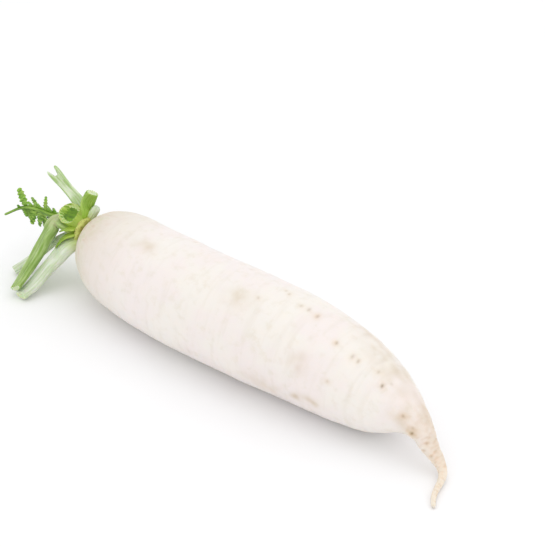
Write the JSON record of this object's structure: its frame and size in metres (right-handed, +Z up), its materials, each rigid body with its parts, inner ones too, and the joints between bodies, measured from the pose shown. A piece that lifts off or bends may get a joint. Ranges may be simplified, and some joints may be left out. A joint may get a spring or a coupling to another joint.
{
  "type": "daikon radish",
  "caption": "Whole long white radish lying on its side, with a tapering tail and the cut, broken leaf stalks left on its crown.",
  "frame": {"origin": "on the flattened strip of the root's underside that rests on the surface, below the middle of the root", "axes": "+X along the root from the crown to the tail, +Z up from the surface it lies on, -Y towards the side to which the tail tip and the two long leaf stalks bend"},
  "size_m": [0.3997, 0.0843, 0.0719],
  "materials": {
    "root_skin": "moist satin skin, creamy white",
    "crown_tissue": "matt, rough, olive brown",
    "pale_stalk": "satin, ribbed, pale green",
    "green_stalk": "satin, ribbed, mid green",
    "bright_stalk": "satin, bright green",
    "leaf_blade": "thin matt leaf, green"
  },
  "bodies": {
    "root": {"root": "root_skin", "crown": "crown_tissue", "folded_leaf_stalk": "green_stalk", "pale_leaf_stalk": "pale_stalk", "hollow_leaf_stub": "bright_stalk", "split_leaf_stalk": "pale_stalk", "thick_leaf_stub": "green_stalk", "rear_leaf_stalk": "pale_stalk", "leaf_bud": "pale_stalk", "torn_leaf": "leaf_blade", "upper_leaf_scale": "bright_stalk", "lower_leaf_scale": "bright_stalk"}
  },
  "joints": []
}
